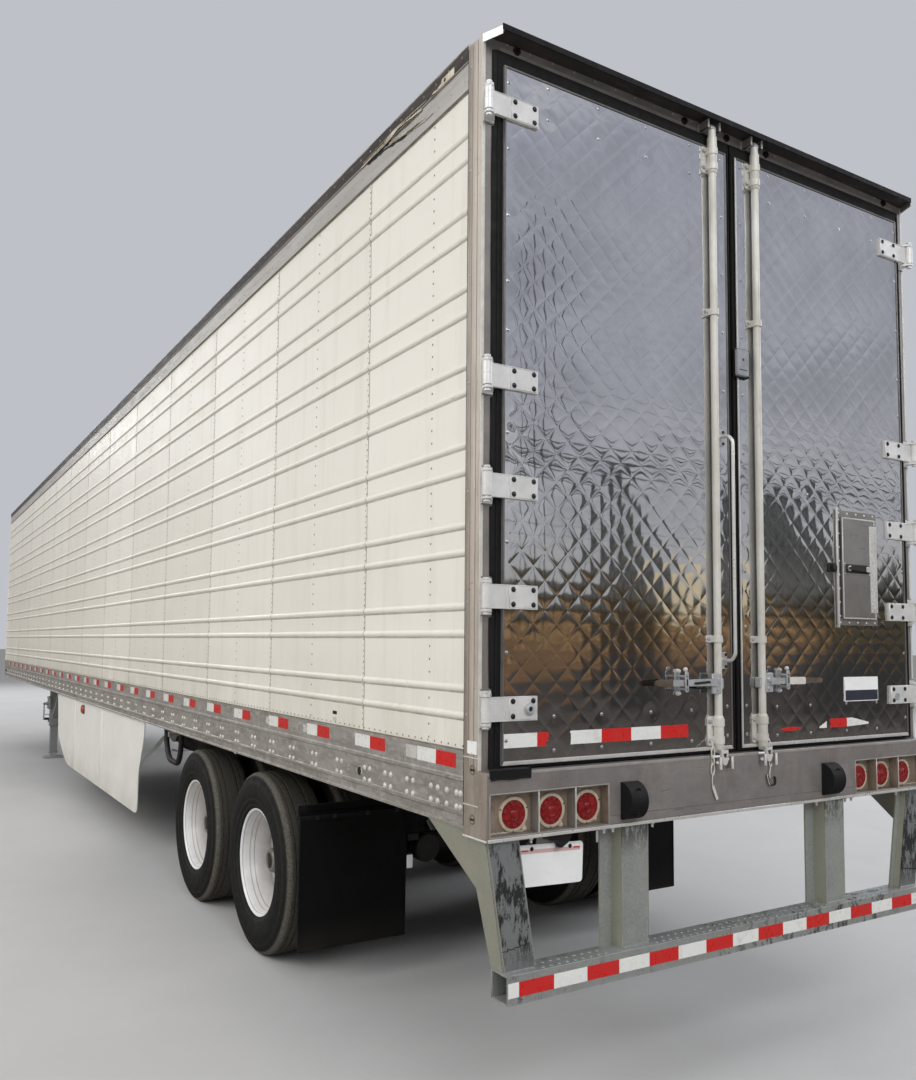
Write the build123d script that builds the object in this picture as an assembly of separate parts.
from build123d import *
import os
from math import radians, sin, cos

os.makedirs("parts", exist_ok=True)

# ---------------------------------------------------------------------------
# Enclosed insulated semi-trailer, two quilted rear doors, tandem axles.
# Row frame: +Z up, +X to the trailer's left (road) side, +Y to the rear.
# Along the trailer, v is the distance forward of the rear frame's back face,
# so y = Y0 - v. The origin is on the ground in the middle of the whole box.
# All sizes in millimetres.
# ---------------------------------------------------------------------------

# body shell
HALF_W = 1300.0          # half width over the rear posts and rails
LENGTH = 16154.0         # rear frame to nose (53 ft)
ROOF_TOP = 4080.0
FLOOR_TOP = 1340.0
FLOOR_BOTTOM = 1215.0
RAIL_BOTTOM = 1087.0     # lower edge of the side rail
RAIL_TOP = 1366.0        # lower edge of the side skin
TOP_RAIL_LOW = 3887.0    # upper edge of the side skin
SKIN_X = 1286.0          # flat of the side skin
WALL_T = 56.0
ROOF_LOW = 3990.0
FRONT_T = 100.0
CORNER_R = 156.0
FRONT_LOW = 1120.0       # lower edge of the front wall
RIB_R = 14.0             # half-round rib radius
RIB_OUT = 9.0            # how far a rib stands out of the skin
RIB_PAIR_Z0 = 1543.0     # centre of the lowest pair
RIB_PAIR_STEP = 303.5
RIB_GAP = 101.0          # between the two ribs of a pair

# rear frame
POST_W = 75.0
POST_D = 100.0
FRAME_LOW = 1065.0
SILL_TOP = 1304.0
SILL_OUT = 55.0          # sill box stands this far behind the posts
HEADER_LOW = 4000.0
HEADER_TOP = 4058.0
VISOR_OUT = 80.0
LAMP_X = (1160.0, 991.0, 821.0)
LAMP_Z = 1146.0
LAMP_R = 51.0
RECESS = (742.0, 1288.0, 1080.0, 1228.0, 45.0)   # x0, x1, z0, z1, depth
BUMPER_X = (643.0, -547.0)      # the right one is set further in
BUMPER_W = 84.0
BUMPER_H = 142.0
BUMPER_Z = 1161.0
BUMPER_OUT = 120.0

# rear doors
DOOR_X0 = 34.0           # free edge
DOOR_X1 = 1217.0         # hinge edge
DOOR_OUT = 20.0          # outer face behind the posts
DOOR_T = 90.0
DOOR_LOW = 1321.0
DOOR_TOP = 3939.0
PIN_X = 1298.0
PIN_V = -40.0
HINGE_Z = (1524.0, 1928.0, 2332.0, 2737.0, 3772.0)
STRAP_H = 88.0
STRAP_LEN = 233.0
PIN_R = 8.0
BORE_R = 8.06
ROD_X = 135.0
ROD_V = -42.0
ROD_R = 16.0
HANDLE_Z = 1605.0

# vent hatch in the right door (x negative there; given as distance from centre)
VENT_X0, VENT_X1 = 705.0, 956.0
VENT_Z0, VENT_Z1 = 1887.0, 2367.0
VENT_PIN_X = 962.0
VENT_PIN_V = -36.0

# rear impact guard
GUARD_HALF = 1223.0
GUARD_Z0, GUARD_Z1 = 504.0, 604.0
GUARD_V0, GUARD_V1 = -75.0, 25.0
GPOST_V = -42.0          # rear face of the guard's posts
GPOST_IN = (538.0, 670.0)        # inner posts, x of the rear face
GPOST_OUT = (1083.0, 1207.0)     # outer posts, x of the rear face at the tube
GPOST_LEAN = 76.0        # the outer posts' tops stand this far outboard of their feet

# running gear
TYRE_R = 504.0
TYRE_HALF_W = 141.0
AXLE_V = (2380.0, 3630.0)        # rear, front
DUAL_X = 975.0                   # middle of a twin pair
DUAL_STEP = 343.0
RIM_R = 298.0
RIM_HALF_W = 117.0
SPINDLE_R = 37.95
HUB_BORE_R = 38.0

# fore end
LEG_V = 12240.0
LEG_X = 960.0
KINGPIN_V = LENGTH - 914.0
COUPLER_Z = 1165.0
UNIT_OUT = 430.0
SKIRT_V0, SKIRT_V1 = 5170.0, 9806.0

Y0 = (LENGTH + UNIT_OUT - BUMPER_OUT) / 2.0      # rear plane's y


# ------------------------------------------------------------------ helpers
def bx(x0, x1, v0, v1, z0, z1):
    return Pos((x0 + x1) / 2, Y0 - (v0 + v1) / 2, (z0 + z1) / 2) * Box(
        abs(x1 - x0), abs(v1 - v0), abs(z1 - z0))


def cyl_x(x0, x1, v, z, r):
    return Pos((x0 + x1) / 2, Y0 - v, z) * Rot(0, 90, 0) * Cylinder(r, abs(x1 - x0))


def cyl_y(x, v0, v1, z, r):
    return Pos(x, Y0 - (v0 + v1) / 2, z) * Rot(90, 0, 0) * Cylinder(r, abs(v1 - v0))


def cyl_z(x, v, z0, z1, r):
    return Pos(x, Y0 - v, (z0 + z1) / 2) * Cylinder(r, z1 - z0)


def prism_x(pts, x0, x1):
    """polygon of (v, z) points, from x0 to x1"""
    f = make_face(Polyline(*[(x0, Y0 - v, z) for v, z in pts], close=True))
    return extrude(f, amount=x1 - x0, dir=(1, 0, 0))


def prism_y(pts, v0, v1):
    """polygon of (x, z) points, from v0 to v1"""
    f = make_face(Polyline(*[(x, Y0 - v0, z) for x, z in pts], close=True))
    return extrude(f, amount=v1 - v0, dir=(0, -1, 0))


def prism_z(pts, z0, z1):
    """polygon of (x, v) points, from z0 to z1"""
    f = make_face(Polyline(*[(x, Y0 - v, z0) for x, v in pts], close=True))
    return extrude(f, amount=z1 - z0, dir=(0, 0, 1))


def mir(s):
    return mirror(s, about=Plane.YZ)


def save(name, shapes):
    if not isinstance(shapes, (list, tuple)):
        shapes = [shapes]
    solids = []
    for s in shapes:
        solids += list(s.solids())
    c = Compound(children=solids) if len(solids) > 1 else solids[0]
    export_step(c, "parts/%s.step" % name)
    print(name, len(solids))


def both(s):
    return [s, mir(s)]


# ------------------------------------------------------------------ shell
def side_wall():
    zc = (FLOOR_TOP + ROOF_LOW) / 2
    sk = Pos(SKIN_X - WALL_T / 2, zc) * Rectangle(WALL_T, ROOF_LOW - FLOOR_TOP)
    for k in range(8):
        for s in (-0.5, 0.5):
            z = RIB_PAIR_Z0 + k * RIB_PAIR_STEP + s * RIB_GAP
            sk += Pos(SKIN_X + RIB_OUT - RIB_R, z) * Circle(RIB_R)
    face = Plane(origin=(0, Y0 - POST_D, 0), x_dir=(1, 0, 0), z_dir=(0, -1, 0)) * sk
    return extrude(face, amount=LENGTH - CORNER_R - POST_D)


wall = side_wall()
save("left_side_wall", wall)
save("right_side_wall", mir(wall))

# roof panel, with a low crown over the middle
roof = prism_y([(-SKIN_X, ROOF_LOW), (SKIN_X, ROOF_LOW), (SKIN_X, ROOF_TOP - 22),
                (900, ROOF_TOP - 4), (0, ROOF_TOP), (-900, ROOF_TOP - 4), (-SKIN_X, ROOF_TOP - 22)],
               POST_D, LENGTH - FRONT_T)
NOSE_X = HALF_W - 6 - CORNER_R       # straight part of the front wall
for sx in (1, -1):
    x0, x1 = sorted((sx * NOSE_X, sx * (SKIN_X + 5)))
    roof -= bx(x0, x1, LENGTH - CORNER_R, LENGTH, ROOF_LOW - 5, ROOF_TOP + 5)
roof += bx(-NOSE_X, NOSE_X, LENGTH - FRONT_T - 1, LENGTH - 4, ROOF_TOP - 24, ROOF_TOP - 12)
save("roof_panel", roof)

# insulated floor with a grooved top
floor = bx(-SKIN_X, SKIN_X, POST_D, LENGTH - FRONT_T, FLOOR_BOTTOM, FLOOR_TOP)
for sx in (1, -1):
    x0, x1 = sorted((sx * NOSE_X, sx * (SKIN_X + 5)))
    floor -= bx(x0, x1, LENGTH - CORNER_R, LENGTH, FLOOR_BOTTOM - 5, FLOOR_TOP + 5)
save("floor_deck", floor)

# front wall with rounded corner posts
cx = NOSE_X
cv = LENGTH - CORNER_R
front = bx(-cx, cx, LENGTH - FRONT_T, LENGTH, FRONT_LOW, ROOF_TOP - 24)
ring = cyl_z(cx, cv, FRONT_LOW, ROOF_TOP - 24, CORNER_R) - cyl_z(
    cx, cv, FRONT_LOW - 5, ROOF_TOP, CORNER_R - 66)
ring = ring & bx(cx, cx + CORNER_R + 5, cv, cv + CORNER_R + 5, FRONT_LOW, ROOF_TOP)
front = front + ring + mir(ring)
save("front_wall", front)

# top rails: outer plate, lip above, cap on the roof edge
top_rail = prism_y([(SKIN_X, TOP_RAIL_LOW), (SKIN_X + 11, TOP_RAIL_LOW), (SKIN_X + 11, TOP_RAIL_LOW + 22),
                    (SKIN_X + 7, TOP_RAIL_LOW + 26), (SKIN_X + 7, 3992), (SKIN_X + 13, 3998),
                    (SKIN_X + 13, 4062), (SKIN_X - 6, 4066), (SKIN_X - 60, 4068), (SKIN_X - 60, 4063),
                    (SKIN_X, 4060)], POST_D, LENGTH - CORNER_R)
save("top_rails", both(top_rail))

# bottom rails: tape band, ridge, bolted web, lower lip
bottom_rail = prism_y([(SKIN_X, RAIL_TOP), (SKIN_X + 11, RAIL_TOP), (SKIN_X + 11, 1276), (SKIN_X + 14, 1270),
                       (SKIN_X + 14, 1258), (SKIN_X + 8, 1252), (SKIN_X + 8, 1150), (SKIN_X + 13, 1146),
                       (SKIN_X + 13, 1134), (SKIN_X + 6, 1130), (SKIN_X + 6, 1100), (SKIN_X + 12, 1096),
                       (SKIN_X + 12, RAIL_BOTTOM), (SKIN_X - 38, RAIL_BOTTOM), (SKIN_X - 38, RAIL_BOTTOM + 7),
                       (SKIN_X, RAIL_BOTTOM + 9)], POST_D, LENGTH - CORNER_R)
save("bottom_rails", both(bottom_rail))

# ------------------------------------------------------------------ rear frame
post = bx(HALF_W - POST_W, HALF_W, 0, POST_D, FRAME_LOW, 4041)
save("rear_posts", both(post))

IN_X = HALF_W - POST_W
header = bx(-IN_X, IN_X, 0, POST_D, HEADER_LOW, HEADER_TOP - 4)
# rain visor: a slightly crowned sheet with a turned-down lip, its ends cut back and closed by a plate
CROWN = [(-HALF_W, 4046), (-700, 4054), (0, 4056), (700, 4054), (HALF_W, 4046)]
visor = prism_y([(x, z - 5) for x, z in CROWN] + [(x, z) for x, z in reversed(CROWN)], -VISOR_OUT, POST_D)
visor += prism_y([(x, z - 17) for x, z in CROWN] + [(x, z) for x, z in reversed(CROWN)], -VISOR_OUT, -VISOR_OUT + 5)
VISOR_CUT = 35.0
visor = visor & prism_z([(-HALF_W, POST_D), (-HALF_W, 0), (-HALF_W + VISOR_CUT, -VISOR_OUT),
                         (HALF_W - VISOR_CUT, -VISOR_OUT), (HALF_W, 0), (HALF_W, POST_D)], 4000, 4070)
header = header + visor
for sx in (1, -1):
    end = prism_z([(sx * HALF_W, 0), (sx * (HALF_W - VISOR_CUT), -VISOR_OUT),
                   (sx * (HALF_W - VISOR_CUT - 6), -VISOR_OUT), (sx * (HALF_W - 6), 0)], 4022, 4044)
    header += end
    # keepers for the lock rod cams
    for dx in (30, -38):
        header += bx(sx * ROD_X + dx, sx * ROD_X + dx + 8, -58, 0, HEADER_LOW + 4, HEADER_LOW + 40)
save("rear_header", header)

sill = bx(-HALF_W, HALF_W, -SILL_OUT, 0, FRAME_LOW, SILL_TOP) + bx(
    -IN_X, IN_X, 0, POST_D, FRAME_LOW, SILL_TOP)
sill += bx(-HALF_W, HALF_W, -SILL_OUT - 6, -SILL_OUT, FRAME_LOW, FRAME_LOW + 10)
for sx in (1, -1):
    x0, x1 = sorted((sx * RECESS[0], sx * RECESS[1]))
    sill -= bx(x0, x1, -SILL_OUT - 1, -SILL_OUT + RECESS[4], RECESS[2], RECESS[3])
    for xm in ((LAMP_X[0] + LAMP_X[1]) / 2, (LAMP_X[1] + LAMP_X[2]) / 2):
        sill += bx(sx * xm - 3, sx * xm + 3, -SILL_OUT, -SILL_OUT + RECESS[4] + 1, RECESS[2], RECESS[3])
    for dx in (30, -38):
        sill += bx(sx * ROD_X + dx, sx * ROD_X + dx + 8, -86, -SILL_OUT + 1, 1250, 1298)
save("rear_sill", sill)

lamps = []
for sx in (1, -1):
    for lx in LAMP_X:
        lens = cyl_y(sx * lx, -24, -10, LAMP_Z, LAMP_R) + cyl_y(sx * lx, -16, -10, LAMP_Z, LAMP_R + 14)
        lamps.append(lens)
save("tail_lamps", lamps)

markers = []
MARKERS = (-1147, -260, 0, 260, 1147)
for mx in MARKERS:
    markers.append(cyl_y(mx, -12, 0, 4027, 11))
for sx in (1, -1):
    x0, x1 = sorted((sx * (SKIN_X + 8), sx * (SKIN_X + 16)))
    markers.append(bx(x0, x1, 15700, 15820, 1170, 1210))
save("marker_lamps", markers)

# D-section rubber blocks: flat on the sill, round to the rear
bumps = []
for bxm in BUMPER_X:
    d = Rectangle(2 * (BUMPER_OUT - SILL_OUT), BUMPER_H) & Ellipse(BUMPER_OUT - SILL_OUT, BUMPER_H / 2)
    d = d - Pos(-200, 0) * Rectangle(400, 400)
    face = Plane(origin=(bxm - BUMPER_W / 2, Y0 + SILL_OUT, BUMPER_Z), x_dir=(0, 1, 0), z_dir=(1, 0, 0)) * d
    bumps.append(extrude(face, amount=BUMPER_W))
save("dock_bumpers", bumps)

# hinge brackets on the posts: two ears and a back plate, bored for the pin
brackets = []
for z in HINGE_Z:
    b = bx(HALF_W - 48, HALF_W - 2, -6, 0, z - 66, z + 66)
    for s in (1, -1):
        z0, z1 = sorted((z + s * (STRAP_H / 2 + 2), z + s * (STRAP_H / 2 + 12)))
        ear = prism_z([(HALF_W - 48, 0), (HALF_W - 6, 0), (PIN_X + 15, PIN_V + 8), (PIN_X + 15, PIN_V - 8),
                       (PIN_X + 8, PIN_V - 16), (PIN_X - 10, PIN_V - 16), (HALF_W - 48, -10)], z0, z1)
        b += ear
    b -= cyl_z(PIN_X, PIN_V, z - 70, z + 70, BORE_R)
    brackets.append(b)
save("post_hinge_brackets", brackets + [mir(b) for b in brackets])


# ------------------------------------------------------------------ doors
def door_panel():
    d = bx(DOOR_X0, DOOR_X1, -DOOR_OUT, -DOOR_OUT + DOOR_T, DOOR_LOW, DOOR_TOP)
    return d


def door_seal():
    # outer flap in front of the posts and header, inside a closed ring round the panel
    outer = bx(5, HALF_W - 56, -14, -3, 1310, HEADER_LOW - 6)
    outer -= bx(DOOR_X0, DOOR_X1, -20, 10, DOOR_LOW, DOOR_TOP)
    return outer


def hinge_straps():
    out = []
    for z in HINGE_Z:
        s = bx(PIN_X - STRAP_LEN, PIN_X, -DOOR_OUT - 12, -DOOR_OUT, z - STRAP_H / 2, z + STRAP_H / 2)
        s += cyl_z(PIN_X, PIN_V, z - STRAP_H / 2, z + STRAP_H / 2, 17)
        s += cyl_z(PIN_X, PIN_V, z - 62, z + 62, PIN_R)
        s += cyl_z(PIN_X, PIN_V, z + 60, z + 66, 12)
        s += cyl_z(PIN_X, PIN_V, z - 66, z - 60, 12)
        out.append(s)
    return out


def lock_rod(sx):
    # rod on the door's outer face, cams at both ends, handle toward the hinges, guides and end castings
    x = sx * ROD_X
    r = cyl_z(x, ROD_V, 1312, 4024, ROD_R)
    r += bx(x - 20, x + 20, -58, -5, HEADER_LOW + 4, HEADER_LOW + 24)
    r += bx(x - 20, x + 20, -78, -26, 1310, 1328)
    r += bx(x - 20, x + 20, -78, -62, 1262, 1328)
    # end castings
    r += bx(x - 36, x + 36, -60, -DOOR_OUT, 3812, 3930)
    r += bx(x - 36, x + 36, -60, -DOOR_OUT, 1340, 1462)
    # guides
    for z in (1785, 3190):
        r += bx(x - 46, x + 46, -62, -DOOR_OUT, z - 15, z + 15)
    # handle hub and lever
    r += bx(x - 26, x + 26, -70, -DOOR_OUT - 8, HANDLE_Z - 32, HANDLE_Z + 32)
    x0, x1 = sorted((x, sx * 510))
    r += bx(x0, x1, -84, -70, HANDLE_Z - 15, HANDLE_Z + 15)
    # hasp
    hx = sx * (356 if sx > 0 else 274)
    r += bx(hx - 22, hx + 22, -96, -DOOR_OUT, HANDLE_Z - 45, HANDLE_Z + 45)
    return r


panel = door_panel()
save("left_rear_door", panel)
rp = mir(panel)
rp -= bx(-(VENT_X1 - 16), -(VENT_X0 + 16), -DOOR_OUT - 5, DOOR_T, VENT_Z0 + 24, VENT_Z1 - 24)
save("right_rear_door", rp)
seal = door_seal()
save("left_door_seal", seal)
save("right_door_seal", mir(seal))
straps = hinge_straps()
save("left_door_hinges", straps)
save("right_door_hinges", [mir(s) for s in straps])
save("left_lock_rod", lock_rod(1))
save("right_lock_rod", lock_rod(-1))

# long bent grab bar on the free edge of the left door
GX, GV = 88.0, -96.0
grab = cyl_z(GX, GV, 1700, 2645, 9)
for z in (1700, 2645):
    grab += Pos(GX, Y0 - GV, z) * Sphere(9)
    grab += cyl_y(GX, GV, -DOOR_OUT, z, 9)
    grab += bx(GX - 30, GX + 30, -DOOR_OUT - 6, -DOOR_OUT, z - 40, z + 40)
save("door_grab_bar", grab)

# sensor on the right door's free edge
save("door_sensor", bx(-86, 4, -48, -24, 2935, 3060) + bx(-86, -36, -26, -DOOR_OUT, 2935, 3060))

# vent hatch: frame on the right door, leaf with an insulated plug
vf = bx(-(VENT_X1 + 28), -(VENT_X0 - 28), -DOOR_OUT - 7, -DOOR_OUT, VENT_Z0 - 30, VENT_Z1 + 34)
vf -= bx(-(VENT_X1 - 16), -(VENT_X0 + 16), -DOOR_OUT - 12, 0, VENT_Z0 + 24, VENT_Z1 - 24)
save("vent_frame", vf)
vd = bx(-(VENT_X1 - 2), -VENT_X0, -40, -33, VENT_Z0, VENT_Z1)
vd += bx(-(VENT_X1 - 32), -(VENT_X0 + 30), -34, 30, VENT_Z0 + 34, VENT_Z1 - 34)
vd += cyl_z(-VENT_PIN_X, VENT_PIN_V, VENT_Z0 + 30, VENT_Z1 - 30, 6)
vd += bx(-VENT_PIN_X, -(VENT_X1 - 4), VENT_PIN_V - 3, VENT_PIN_V + 3, VENT_Z0 + 30, VENT_Z1 - 30)
save("vent_door", vd)

# ------------------------------------------------------------------ rear impact guard
tube = bx(-GUARD_HALF, GUARD_HALF, GUARD_V0, GUARD_V1, GUARD_Z0, GUARD_Z1)
tube -= bx(-GUARD_HALF - 5, GUARD_HALF + 5, GUARD_V0 + 6, GUARD_V1 - 6, GUARD_Z0 + 6, GUARD_Z1 - 6)
save("rear_impact_guard", tube)


# inner posts: upright hat sections, crown to the rear
ix0, ix1 = GPOST_IN
gv = GPOST_V
inner = prism_z([(ix0 - 60, gv + 67), (ix0 - 60, gv + 59), (ix0, gv + 59), (ix0, gv), (ix1, gv), (ix1, gv + 59),
                 (ix1 + 60, gv + 59), (ix1 + 60, gv + 67), (ix1 - 8, gv + 67), (ix1 - 8, gv + 8), (ix0 + 8, gv + 8),
                 (ix0 + 8, gv + 67)], GUARD_Z1, FRAME_LOW)


# outer posts: channels that lean outboard, each with a gusset plate forward to the side rail
def lean(x, z):
    return x + GPOST_LEAN * (z - GUARD_Z1) / (FRAME_LOW - GUARD_Z1)


def leaning_plate(xa, xb, v0, v1, z0, z1):
    return prism_y([(lean(xa, z0), z0), (lean(xb, z0), z0), (lean(xb, z1), z1), (lean(xa, z1), z1)], v0, v1)


ox0, ox1 = GPOST_OUT
outer = leaning_plate(ox0, ox1, gv, gv + 8, GUARD_Z1, FRAME_LOW)
outer += leaning_plate(ox1 - 8, ox1, gv, gv + 42, GUARD_Z1, FRAME_LOW)
outer += leaning_plate(ox0, ox0 + 8, gv, gv + 42, GUARD_Z1, FRAME_LOW)
outer += leaning_plate(ox0 - 28, ox0 + 8, gv + 34, gv + 42, GUARD_Z1, FRAME_LOW)
gusset = prism_x([(gv + 14, GUARD_Z1), (gv + 87, GUARD_Z1), (76, 878), (368, RAIL_BOTTOM - 1), (POST_D + 2, RAIL_BOTTOM - 1),
                  (POST_D + 2, FRAME_LOW), (gv + 14, FRAME_LOW)], ox1 - 20, HALF_W + 20)
gusset = gusset & leaning_plate(ox1 - 1, ox1 + 6, gv, 400, GUARD_Z1 - 5, RAIL_BOTTOM + 5)
outer += gusset
posts = [inner, outer]
save("guard_posts", posts + [mir(p) for p in posts])

PLATE_X, PLATE_Z, PLATE_V = 975.5, 942.0, 15.0       # middle of a 305 x 152 number plate
HOLE_STEP, HOLE_Z = 178.0, PLATE_Z + 60.0
plate = bx(PLATE_X - 152.5, PLATE_X + 152.5, PLATE_V, PLATE_V + 3, PLATE_Z - 76, PLATE_Z + 76)
plate += bx(PLATE_X - 60, PLATE_X + 60, PLATE_V + 3, PLATE_V + 9, PLATE_Z + 20, FRAME_LOW)
for px in (PLATE_X - HOLE_STEP / 2, PLATE_X + HOLE_STEP / 2):
    plate -= cyl_y(px, PLATE_V - 10, PLATE_V + 15, HOLE_Z, 3.5)
save("licence_plate", plate)

# ------------------------------------------------------------------ underframe
cross = []
v = 200.0
while v < 12900:
    web = bx(-SKIN_X + 40, SKIN_X - 40, v - 3, v + 3, 1095, FLOOR_BOTTOM)
    web += bx(-SKIN_X + 40, SKIN_X - 40, v - 30, v + 30, 1095, 1101)
    web += bx(-SKIN_X + 40, SKIN_X - 40, v - 30, v + 30, FLOOR_BOTTOM - 6, FLOOR_BOTTOM)
    cross.append(web)
    v += 305.0
save("floor_crossmembers", cross)

# sliding bogie: body rails, box rails under them, cross ties
slider = None
for sx in (1, -1):
    rail = bx(sx * 480 - 45, sx * 480 + 45, 900, 6800, 1055, 1095)
    box = bx(sx * 480 - 50, sx * 480 + 50, 1760, 4720, 930, 1055)
    box -= bx(sx * 480 - 42, sx * 480 + 42, 1715, 4725, 940, 1050)
    slider = rail + box if slider is None else slider + rail + box
for v in (1800, 2700, 3300, 3950, 4680):
    slider += bx(-430, 430, v - 30, v + 30, 960, 1040)
save("slider_frame", slider)

susp = []
for sx in (1, -1):
    for av in AXLE_V:
        hanger = prism_x([(av + 380, 930), (av + 620, 930), (av + 560, 640), (av + 470, 600), (av + 420, 640)],
                         sx * 480 - 50 if sx > 0 else -530, 530 if sx > 0 else -430)
        hanger -= prism_x([(av + 370, 900), (av + 630, 900), (av + 630, 560), (av + 370, 560)],
                          sx * 480 - 38 if sx > 0 else -518, 518 if sx > 0 else -442)
        arm = prism_x([(av + 545, 690), (av + 545, 630), (av + 120, 570), (av - 120, 570), (av - 420, 622), (av - 420, 660),
                       (av + 120, 650)], sx * 480 - 35 if sx > 0 else -515, 515 if sx > 0 else -445)
        susp.append(hanger + cyl_x(sx * 480 - 60, sx * 480 + 60, av + 510, 660, 26) + arm)
save("suspension_arms", susp)

springs = []
for sx in (1, -1):
    for av in AXLE_V:
        s = cyl_z(sx * 480, av - 330, 662, 930, 118)
        s += cyl_z(sx * 480, av - 330, 690, 760, 132) + cyl_z(sx * 480, av - 330, 800, 890, 136)
        springs.append(s)
save("air_springs", springs)

for name, av in (("rear_axle", AXLE_V[0]), ("front_axle", AXLE_V[1])):
    ax = cyl_x(-800, 800, av, TYRE_R, 64)
    ax += cyl_x(-1130, 1130, av, TYRE_R, SPINDLE_R)
    for sx in (1, -1):
        ax += bx(sx * 480 - 70, sx * 480 + 70, av - 75, av + 75, TYRE_R - 70, 570)
        # brake chamber on its bracket
        ax += cyl_y(sx * 330, av - 330, av - 140, TYRE_R + 40, 78)
        ax += bx(sx * 330 - 12, sx * 330 + 12, av - 150, av, TYRE_R - 30, TYRE_R + 60)
    save(name, ax)


# ------------------------------------------------------------------ wheels
def tyre(xc, av):
    # section from bead to tread, turned about the axle
    h = TYRE_HALF_W
    pts = [(-RIM_HALF_W + 17, 287.2), (-RIM_HALF_W + 13, 299.5), (-h + 22, 303), (-h + 6, 340), (-h, 392), (-h + 8, 448), (-h + 22, 482), (-h + 34, 497),
           (-h + 60, TYRE_R), (h - 60, TYRE_R), (h - 34, 497), (h - 22, 482), (h - 8, 448), (h, 392),
           (h - 6, 340), (h - 22, 303), (RIM_HALF_W - 13, 299.5), (RIM_HALF_W - 17, 287.2)]
    f = make_face(Polyline(*[(x, 0, r) for x, r in pts], close=True))
    t = revolve(f, axis=Axis.X, revolution_arc=360)
    return Pos(xc, Y0 - av, TYRE_R) * t


def rims(sx, av):
    # two dished rims back to back, joined at their discs, with the hub and drum
    out = None
    for k in (1, -1):
        xc = DUAL_X + k * DUAL_STEP / 2
        # k = 1 is the outer rim: its disc is near the inner side, so its dish opens outward
        sec = [(-RIM_HALF_W, 286.5), (-RIM_HALF_W, RIM_R), (-RIM_HALF_W + 12, RIM_R), (-RIM_HALF_W + 16, 286.6),
               (RIM_HALF_W - 16, 286.6), (RIM_HALF_W - 12, RIM_R), (RIM_HALF_W, RIM_R), (RIM_HALF_W, 286.5),
               (RIM_HALF_W - 14, 279), (RIM_HALF_W - 60, 274), (-RIM_HALF_W + 60, 262), (-RIM_HALF_W + 14, 279)]
        f = make_face(Polyline(*[(xc + k * x, 0, r) for x, r in sec], close=True))
        ring = revolve(f, axis=Axis.X, revolution_arc=360)
        xd = DUAL_X + k * 9
        dsec = [(xd - 6 * 1, 60), (xd - 6, 160), (xc - k * (RIM_HALF_W - 46), 268), (xc - k * (RIM_HALF_W - 60), 268),
                (xd + 6, 160), (xd + 6, 60)]
        dsec = [(x, r) for x, r in dsec]
        if k < 0:
            dsec = [(xd + 6, 60), (xd + 6, 160), (xc + (RIM_HALF_W - 46), 268), (xc + (RIM_HALF_W - 60), 268),
                    (xd - 6, 160), (xd - 6, 60)]
        disc = revolve(make_face(Polyline(*[(x, 0, r) for x, r in dsec], close=True)), axis=Axis.X,
                       revolution_arc=360)
        out = ring + disc if out is None else out + ring + disc
    hub = Pos(DUAL_X + 25, 0, 0) * Rot(0, 90, 0) * Cylinder(112, 210)
    hub += Pos(DUAL_X + 170, 0, 0) * Rot(0, 90, 0) * Cylinder(78, 100)
    drum = Pos(DUAL_X - 100, 0, 0) * Rot(0, 90, 0) * Cylinder(205, 180)
    out = out + hub + drum
    out -= Pos(DUAL_X - 60, 0, 0) * Rot(0, 90, 0) * Cylinder(HUB_BORE_R, 440)
    out -= Pos(DUAL_X - 195, 0, 0) * Rot(0, 90, 0) * Cylinder(72, 60)
    out = Pos(0, Y0 - av, TYRE_R) * out
    return out if sx > 0 else mir(out)


for aname, av in (("rear", AXLE_V[0]), ("front", AXLE_V[1])):
    for sname, sx in (("left", 1), ("right", -1)):
        ts = [tyre(sx * (DUAL_X + k * DUAL_STEP / 2), av) for k in (1, -1)]
        save("%s_%s_tyres" % (aname, sname), ts)
        save("%s_%s_rims" % (aname, sname), rims(sx, av))

# ------------------------------------------------------------------ flaps, skirts
flaps = []
for sx in (1, -1):
    x0, x1 = sorted((sx * 680, sx * 1292))
    f = bx(x0, x1, 1676, 1684, 200, 872)
    f += bx(x0, x1, 1684, 1708, 852, 884)
    xa, xb = sorted((sx * 430, sx * 1240))
    f += bx(xa, xb, 1700, 1726, 884, 920)
    f += bx(sx * 480 - 40, sx * 480 + 40, 1700, 1760, 918, 1000)
    flaps.append(f)
save("mud_flaps", flaps)

skirt = prism_x([(SKIRT_V0, RAIL_BOTTOM - 1), (SKIRT_V1, RAIL_BOTTOM - 1), (9700, 700), (9650, 610), (9540, 520),
                 (9330, 425), (9140, 348), (8960, 308), (8860, 300), (5430, 300), (5380, 312), (5352, 340),
                 (5350, 600), (5330, 680), (5205, 910), (5180, 980)], 1262, 1270)
for v in (5400, 6600, 7800, 9000):
    skirt += bx(1256, 1262, v - 25, v + 25, 500, RAIL_BOTTOM)
    skirt += prism_y([(1256, 700), (1256, 660), (900, 1056), (900, 1094), (916, 1094)], v - 4, v + 4)
save("side_skirts", both(skirt))

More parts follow.
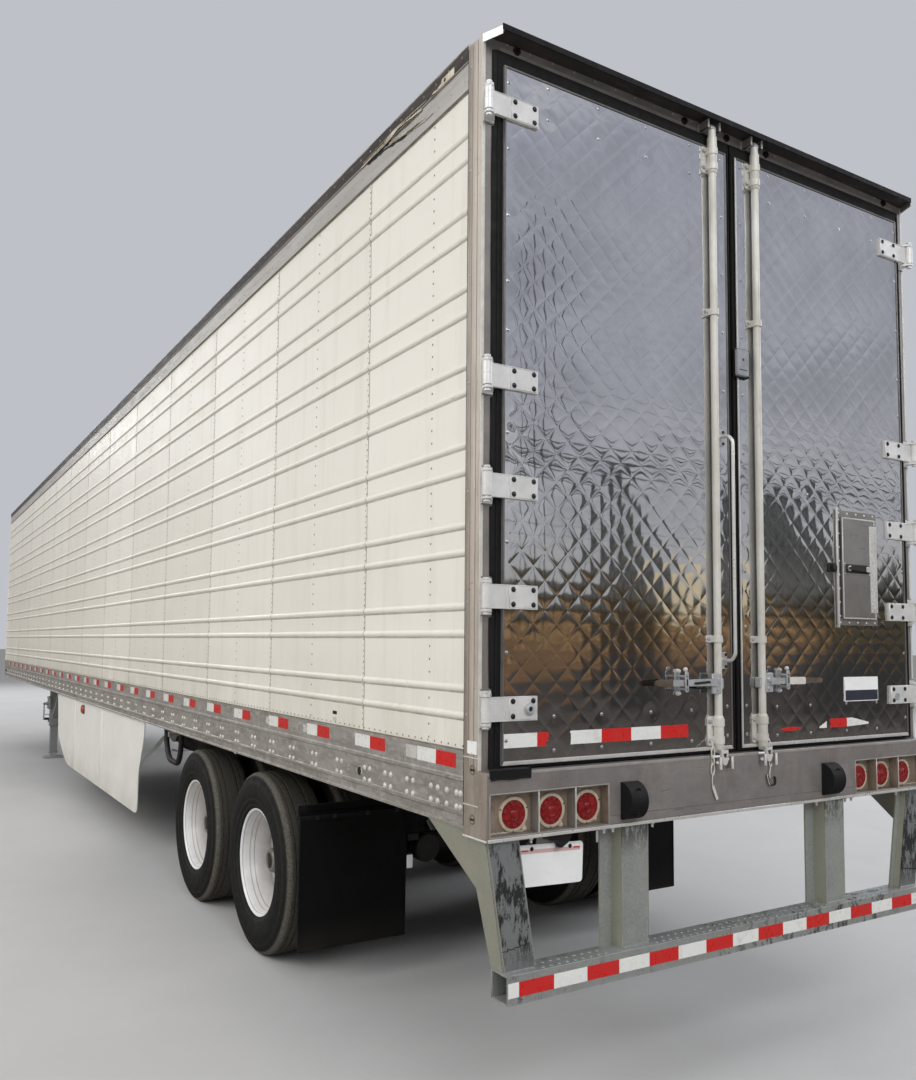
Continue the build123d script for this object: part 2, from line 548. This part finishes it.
# ------------------------------------------------------------------ landing gear
gear = []
for sx in (1, -1):
    leg = bx(sx * LEG_X - 62, sx * LEG_X + 62, LEG_V - 62, LEG_V + 62, 470, 1215)
    leg += bx(sx * LEG_X - 50, sx * LEG_X + 50, LEG_V - 50, LEG_V + 50, 90, 480)
    leg += bx(sx * LEG_X - 130, sx * LEG_X + 130, LEG_V - 125, LEG_V + 125, 0, 14)
    leg += prism_x([(LEG_V - 70, 14), (LEG_V + 70, 14), (LEG_V + 30, 110), (LEG_V - 30, 110)],
                   sx * LEG_X - 40, sx * LEG_X + 40)
    # back brace up to the crossmembers
    leg += prism_x([(LEG_V - 62, 640), (LEG_V - 62, 590), (LEG_V - 620, 1060), (LEG_V - 620, 1095),
                    (LEG_V - 560, 1095)], sx * LEG_X - 30, sx * LEG_X + 30)
    gear.append(leg)
tie = cyl_x(-LEG_X + 50, LEG_X - 50, LEG_V, 900, 24)
brace = prism_y([(-LEG_X + 55, 700), (-LEG_X + 55, 650), (-40, 1060), (40, 1060), (40, 1094), (-70, 1094)],
                LEG_V - 5, LEG_V + 5)
lg = gear[0] + gear[1] + tie + brace + mir(brace)
# the crank, folded against the left leg
crank = cyl_x(LEG_X + 60, LEG_X + 152, LEG_V, 800, 12) + bx(LEG_X + 138, LEG_X + 152, LEG_V - 10, LEG_V + 10, 560, 812)
crank += cyl_x(LEG_X + 72, LEG_X + 140, LEG_V, 575, 12)
lg = lg + crank
save("landing_gear", lg)

# ------------------------------------------------------------------ coupler
coupler = bx(-1140, 1140, 13060, LENGTH - FRONT_T, COUPLER_Z, COUPLER_Z + 10)
for x in (-1130, -560, 0, 560, 1130):
    coupler += bx(x - 5, x + 5, 13060, LENGTH - FRONT_T, COUPLER_Z + 10, FLOOR_BOTTOM)
for v in (13080, 13700, 14400, KINGPIN_V, 15700, 16040):
    coupler += bx(-1140, 1140, v - 5, v + 5, COUPLER_Z + 10, FLOOR_BOTTOM)
coupler += cyl_z(0, KINGPIN_V, COUPLER_Z - 16, COUPLER_Z, 44)
coupler += cyl_z(0, KINGPIN_V, COUPLER_Z - 52, COUPLER_Z - 15, 25.4)
coupler += cyl_z(0, KINGPIN_V, COUPLER_Z - 84, COUPLER_Z - 51, 35.7)
save("coupler_plate", coupler)

# ------------------------------------------------------------------ nose unit, tanks
unit = bx(-930, 930, LENGTH, LENGTH + 390, 1930, 3960)
unit = unit - bx(-760, 760, LENGTH + 360, LENGTH + 400, 3080, 3840)
unit = fillet(unit.edges().filter_by(Axis.Z).filter_by(lambda e: abs(e.center().Y - (Y0 - LENGTH - 390)) < 1
                                                       and abs(abs(e.center().X) - 930) < 1), 120)
unit += bx(-300, 300, LENGTH + 380, LENGTH + UNIT_OUT, 2150, 2900)
save("refrigeration_unit", unit)
grille = None
for k in range(19):
    s = bx(-759, 759, LENGTH + 362, LENGTH + 392, 3090 + k * 39.5, 3090 + k * 39.5 + 14)
    grille = s if grille is None else grille + s
for x in (-752, 0, 752):
    grille += bx(x - 5, x + 5, LENGTH + 360, LENGTH + 380, 3082, 3838)
save("unit_grille", grille)

tank = cyl_x(-880, 60, 8900, 790, 285)
for x in (-800, -100):
    tank += bx(x - 25, x + 25, 8900 - 288, 8900 + 288, 790, 1095) - cyl_x(x - 40, x + 40, 8900, 790, 284)
save("fuel_tank", tank)

tanks = []
for sx in (1, -1):
    t = cyl_y(sx * 700, 5050, 5850, 880, 120)
    for v in (5200, 5700):
        t += bx(sx * 700 - 20, sx * 700 + 20, v - 20, v + 20, 980, 1095)
    tanks.append(t)
save("air_tanks", tanks)
